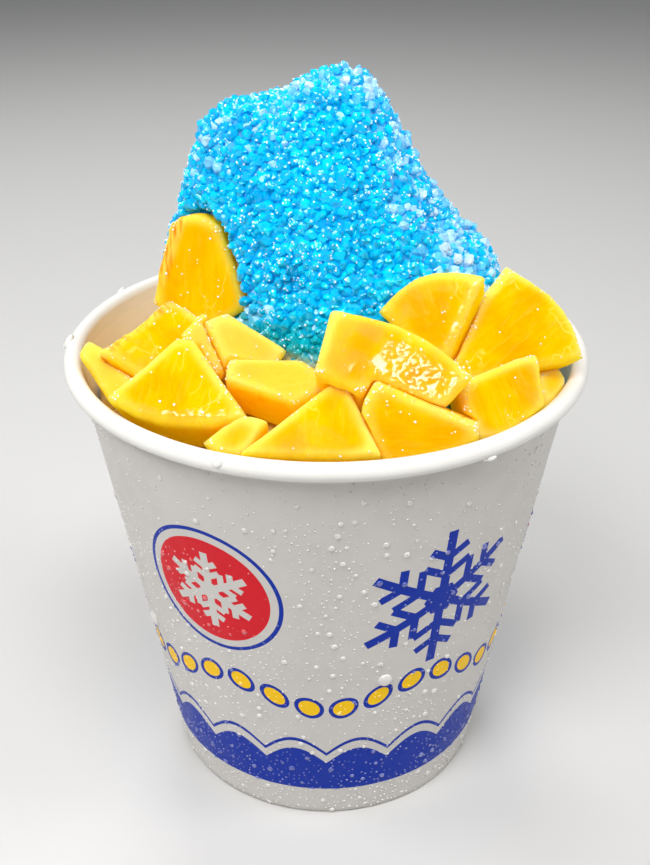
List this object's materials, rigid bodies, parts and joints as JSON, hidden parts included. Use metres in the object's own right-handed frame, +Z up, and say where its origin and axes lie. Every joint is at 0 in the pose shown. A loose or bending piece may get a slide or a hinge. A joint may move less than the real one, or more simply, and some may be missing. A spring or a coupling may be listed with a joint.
{
  "type": "shaved ice dessert",
  "caption": "Paper cup heaped with coarse shaved ice soaked in blue syrup and topped all round with glossy chunks of yellow peach.",
  "frame": {"origin": "on the table under the middle of the cup", "axes": "+Z up along the cup's axis, -Y towards the viewer of the picture, +X to the viewer's right"},
  "size_m": [0.0958, 0.0958, 0.1375],
  "materials": {
    "cup_paper": "white coated board with a blue, red and yellow print",
    "blue_ice": "wet translucent ice grains soaked in blue syrup",
    "peach_flesh": "wet, glossy, translucent yellow flesh"
  },
  "bodies": {
    "root": {"paper_cup": "cup_paper", "shaved_ice": "blue_ice", "peach_front_left": "peach_flesh", "peach_front_middle": "peach_flesh", "peach_front_right": "peach_flesh", "peach_centre": "peach_flesh", "peach_left_centre": "peach_flesh", "peach_right_upper": "peach_flesh", "peach_right_back": "peach_flesh", "peach_right_front": "peach_flesh", "peach_left_tall": "peach_flesh", "peach_left_stone": "peach_flesh", "peach_inner": "peach_flesh", "peach_left_inner": "peach_flesh", "peach_left_rim": "peach_flesh", "peach_front_low": "peach_flesh", "peach_right_rim": "peach_flesh", "peach_right_side": "peach_flesh", "peach_back_right": "peach_flesh", "peach_back_middle": "peach_flesh", "peach_back_upper": "peach_flesh", "peach_back_left": "peach_flesh"}
  },
  "joints": []
}
